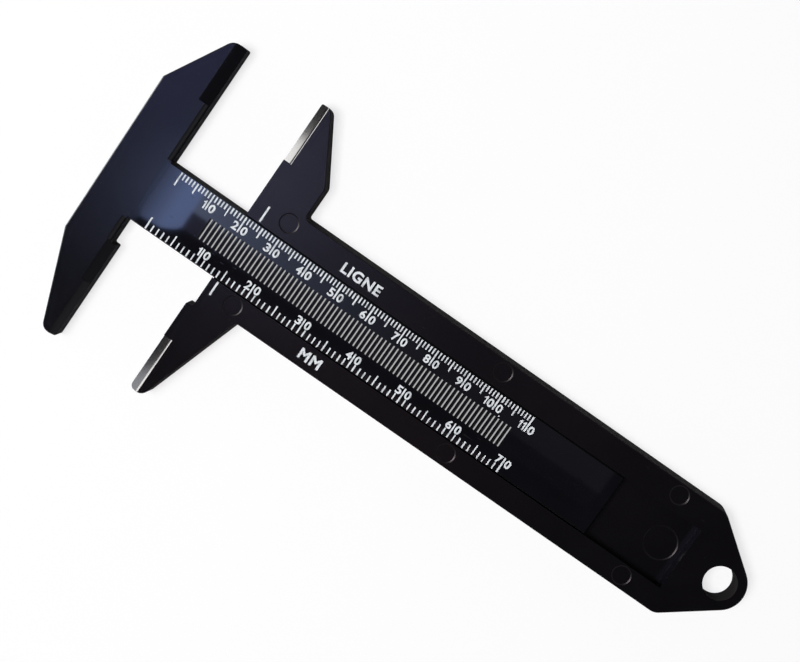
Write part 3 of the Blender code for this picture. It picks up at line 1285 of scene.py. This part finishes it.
@dataclass
class Studio:
    """The camera, the paper floor, the lamps and the sheets that the gloss mirrors."""

    camera_place: Point = (21.374 * MM, 28.281 * MM, 254.295 * MM)
    camera_turn: Point = (-5.4601, 1.6896, 34.8241)
    lens: float = 68.985
    sensor: float = 36.0
    nearest: float = 0.01
    farthest: float = 10.0
    paper_half_width: float = 2.0
    paper_drop: float = 0.02 * MM
    zenith: float = 0.02
    zenith_from: float = 0.75
    horizon: float = 0.40
    haze_at: float = 0.35
    haze_share: float = 0.6
    backdrop: float = 0.97
    room_tint: Colour = (1.0, 0.98, 1.0)
    panels: tuple[Panel, ...] = (
        Panel(
            name="window",
            place=(-0.564, -0.089, 0.565),
            target=(0.025, 0.0, 0.0),
            size=(0.46, 0.34),
            colour=(0.99, 0.98, 0.98),
            radiance=11.0,
        ),
        Panel(
            name="low_strip",
            place=(-0.714, -0.076, 0.357),
            size=(0.28, 0.085),
            colour=(0.90, 1.0, 0.95),
            radiance=30.0,
        ),
        Panel(
            name="upper_sill",
            place=(-0.774, -0.072, 0.176),
            size=(0.14, 0.112),
            colour=(0.90, 1.0, 0.96),
            radiance=26.0,
        ),
        Panel(
            name="lower_sill",
            place=(-0.708, -0.256, 0.271),
            size=(0.14, 0.100),
            colour=(0.84, 0.97, 1.0),
            radiance=8.5,
        ),
        Panel(
            name="soft_fill",
            place=(0.30, 0.46, 0.60),
            target=(0.03, 0.0, 0.0),
            size=(0.6, 0.6),
            colour=(0.98, 0.97, 1.0),
            radiance=0.15,
        ),
        Panel(
            name="skylight",
            place=(-0.146, -0.071, 0.66),
            target=(0.03, 0.0, 0.0),
            size=(0.22, 0.22),
            colour=(1.0, 1.0, 1.0),
            radiance=27.0,
            glossy=False,
        ),
    )
    cards: tuple[Card, ...] = (
        Card(
            name="patch_sheet",
            outline=(
                (-0.1120, -0.0825),
                (-0.0945, -0.0811),
                (-0.0895, -0.0786),
                (-0.0865, -0.0765),
                (-0.0845, -0.0740),
                (-0.0845, -0.0400),
                (-0.1120, -0.0400),
            ),
            glow=(0.55, 0.70, 1.25),
            faded=(1.80, 2.45, 4.85),
            fade=(-0.112, -0.094),
        ),
        Card(
            name="head_sheet",
            outline=((-0.175, -0.118), (-0.112, -0.118), (-0.112, 0.10), (-0.175, 0.10)),
            glow=(0.40, 0.44, 1.15),
            faded=(0.12, 0.13, 0.27),
            axis="Y",
            fade=(0.0, -0.09),
            power=1.6,
        ),
        Card(
            name="band_sheet",
            outline=((-0.0845, -0.0635), (0.190, -0.0635), (0.190, 0.040), (-0.0845, 0.040)),
            glow=(1.40, 1.72, 2.75),
            faded=(0.11, 0.10, 0.13),
            fade=(-0.080, 0.100),
            power=2.5,
        ),
        Card(
            name="hem_sheet",
            outline=((-0.0845, -0.0745), (0.190, -0.0745), (0.190, -0.0635), (-0.0845, -0.0635)),
            glow=(0.26, 0.28, 0.48),
            faded=(0.03, 0.03, 0.04),
            fade=(-0.080, 0.100),
            power=2.5,
        ),
        Card(
            name="warm_sheet",
            outline=((-0.020, -0.120), (0.130, -0.120), (0.130, -0.0835), (-0.050, -0.0835)),
            glow=(0.24, 0.18, 0.20),
        ),
    )

    def build(self) -> None:
        """Builds the studio and sets the scene's camera."""
        self._camera()
        self._floor()
        for fitting in (*self.panels, *self.cards):
            fitting.build()
        self._world()
        bpy.context.scene.view_settings.view_transform = "Standard"

    def _camera(self) -> None:
        """Builds the camera, where the photograph was taken from."""
        lens = bpy.data.cameras.new("camera")
        lens.lens = self.lens
        lens.sensor_width = self.sensor
        lens.clip_start = self.nearest
        lens.clip_end = self.farthest
        camera = bpy.data.objects.new("camera", lens)
        camera.location = self.camera_place
        camera.rotation_euler = Euler([math.radians(angle) for angle in self.camera_turn])
        bpy.context.scene.collection.objects.link(camera)
        bpy.context.scene.camera = camera

    def _floor(self) -> None:
        """Lays the paper just under the gauge."""
        shape = bmesh.new()
        bmesh.ops.create_grid(shape, x_segments=1, y_segments=1, size=self.paper_half_width)
        mesh = drawn("paper", shape)
        mesh.transform(Matrix.Translation((0, 0, -self.paper_drop)))
        mesh.materials.append(Paper().build())
        placed("paper", mesh)

    def _world(self) -> None:
        """Lights the room from the horizon, and shows the camera a pale backdrop."""
        world = bpy.data.worlds.new("room")
        world.use_nodes = True
        tree = Tree(world.node_tree)
        way = tree.node("ShaderNodeTexCoord").outputs["Generated"]
        rise = tree.signal(tree.node("ShaderNodeSeparateXYZ", None, {0: way}), "Z")
        haze = (self.haze_at, self.horizon * self.haze_share)
        stops = ((0.0, self.horizon), haze, (self.zenith_from, self.zenith))
        ramp = tree.node("ShaderNodeValToRGB", {"stops": stops}, {"Fac": rise})
        seen = tree.signal(tree.node("ShaderNodeLightPath"), "Is Camera Ray")
        strength = tree.signal(ramp) * (1 - seen) + seen * self.backdrop
        background = world.node_tree.nodes["Background"]
        tree.feed(background.inputs["Color"], (*self.room_tint, 1.0))
        tree.feed(background.inputs["Strength"], strength)
        bpy.context.scene.world = world


# The gauge

BODY_BLACK = MouldedPlastic(
    name="black_moulded_plastic",
    colour=(0.0035, 0.0031, 0.0039),
    mottle=(0.0045, 0.0040, 0.0050),
    roughness=0.17,
    roughness_spread=0.05,
    specular=0.36,
    tint=(1.0, 0.87, 0.90),
    slope_roughness=0.38,
    end_wall=(60 * MM, 92 * MM),
)

RULE_NAVY = MouldedPlastic(
    name="navy_moulded_plastic",
    colour=(0.0034, 0.0033, 0.0048),
    mottle=(0.0044, 0.0044, 0.0064),
    roughness=0.15,
    roughness_spread=0.03,
    specular=0.50,
    grain_depth=0.0005 * MM,
    grooves_below=4.872 * MM,
    polished_from=-17.85 * MM,
    polished_half_width=5.57 * MM,
    spots=(Spot(81.9 * MM - REST_READING, 0.8 * MM, 0.70 * MM),),
)

WHITE_INK = ScaleInk(
    name="white_scale_ink",
    colour=(0.77, 0.80, 0.83),
    thin=(0.40, 0.43, 0.46),
    roughness=0.5,
)


@dataclass
class ButtonGauge:
    """The whole gauge: two mouldings, two scales, and the body's print."""

    body_surface: float = 5.00 * MM
    rule_surface: float = 4.95 * MM
    dot_place: tuple[float, float] = (65.05 * MM - REST_READING, 2.30 * MM)
    dot_reach: Point = (0.11 * MM, 0.11 * MM, 0.015 * MM)

    def build(self) -> None:
        """Builds every piece in order."""
        Moulding("gauge_body", "body_moulding", Carrier.BODY, BODY_BLACK).build()
        Moulding("sliding_rule", "rule_moulding", Carrier.RULE, RULE_NAVY).build()
        ink = WHITE_INK.build()
        ticks = TickTree()
        for scale in self._scales(ink):
            scale.build(ticks)
        BodyPrint(self.body_surface, ink).build()
        middle, reach = Vector((*self.dot_place, self.rule_surface)), Vector(self.dot_reach)
        dot = placed("ink_dot", bar("ink_dot", middle - reach, middle + reach))
        finish_piece(dot, Carrier.RULE, ink)

    def _scales(self, ink: bpy.types.Material) -> list[RuleScale]:
        """Lists the rule's two scales.

        Args:
            ink: the scales' ink.

        Returns:
            The ligne scale and the millimetre scale.
        """
        ligne = RuleScale(
            unit="ligne",
            side=Side.LIGNE,
            pitch=0.635 * MM,
            last=110,
            outer=5.46 * MM,
            ten_length=2.90 * MM,
            zero_length=2.50 * MM,
            foot=2.56 * MM,
            surface=self.rule_surface,
            ink=ink,
            plain_length=1.06 * MM,
        )
        millimetre = RuleScale(
            unit="millimetre",
            side=Side.MILLIMETRE,
            pitch=1.0 * MM,
            last=70,
            outer=5.53 * MM,
            ten_length=2.76 * MM,
            zero_length=2.15 * MM,
            foot=-4.26 * MM,
            surface=self.rule_surface,
            ink=ink,
            plain_length=1.20 * MM,
        )
        return [ligne, millimetre]


def main() -> None:
    """Builds the studio and the gauge."""
    logging.basicConfig(level=logging.INFO, format="%(name)s: %(message)s")
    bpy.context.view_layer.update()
    Studio().build()
    ButtonGauge().build()


if __name__ == "__main__":
    main()
